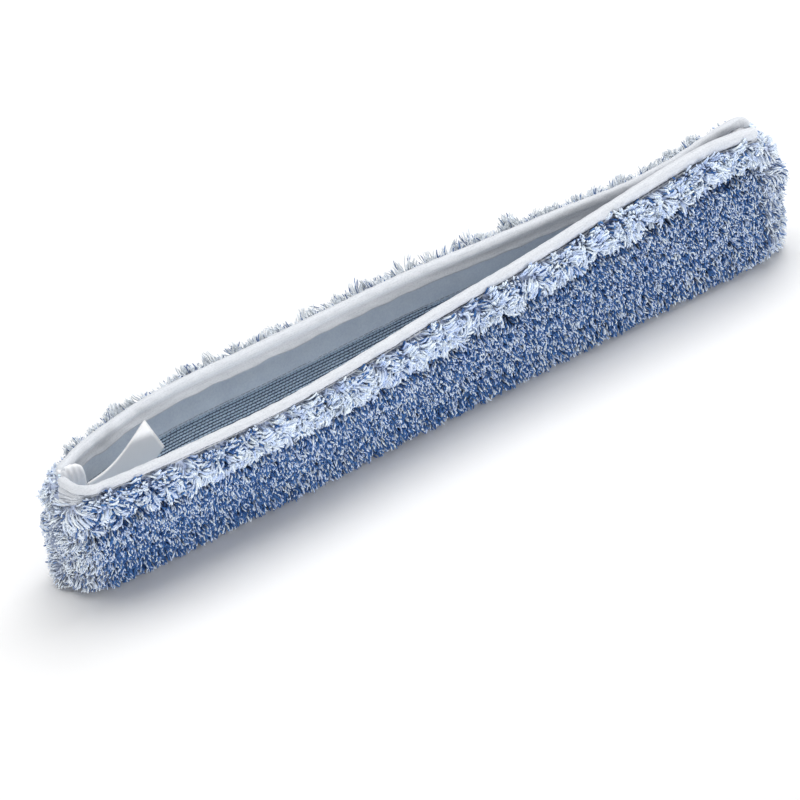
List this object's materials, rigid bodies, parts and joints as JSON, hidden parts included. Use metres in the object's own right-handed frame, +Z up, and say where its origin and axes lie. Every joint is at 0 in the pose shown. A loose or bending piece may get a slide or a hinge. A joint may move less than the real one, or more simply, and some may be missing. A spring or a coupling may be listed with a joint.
{
  "type": "microfibre mop sleeve",
  "caption": "Slip-on microfibre sleeve for a flat mop: a long pocket of blue and white pile, open at the top, with a taped mouth, ribbed knit inside and a blank loop label.",
  "frame": {"origin": "centre of the bounding box in plan, at the underside that rests on the floor", "axes": "+X along the length towards the end whose mouth lies closed, +Y towards the rear wall, +Z up out of the mouth"},
  "size_m": [0.4761, 0.0546, 0.0783],
  "materials": {
    "ground_knit": "ribbed knit, dull",
    "pile": "mixed blue and white microfibre pile",
    "facing": "smooth woven strip",
    "tape": "soft folded tape",
    "label": "smooth satin ribbon",
    "thread_white": "spun thread",
    "thread_dark": "spun thread",
    "thread_grey": "spun thread"
  },
  "bodies": {
    "sleeve": {"ground_fabric": "ground_knit", "front_pile": "pile", "rear_pile": "pile", "bottom_pile": "pile", "left_end_pile": "pile", "right_end_pile": "pile", "front_facing": "facing", "rear_facing": "facing", "front_binding": "tape", "rear_binding": "tape", "left_tuck": "tape", "right_tuck": "tape", "label_tack": "thread_white", "front_binding_thread": "thread_dark", "rear_binding_thread": "thread_dark", "front_facing_thread": "thread_grey", "rear_facing_thread": "thread_grey", "left_seam_thread": "thread_white", "right_seam_thread": "thread_white"},
    "label_flap": {"label": "label"}
  },
  "joints": [
    {"name": "label_swing", "type": "hinge", "parent": "sleeve", "child": "label_flap", "pos_m": [-0.2123, 0, 0.0544], "axis": [0, 0, 1], "range_deg": [-15, 15]}
  ]
}
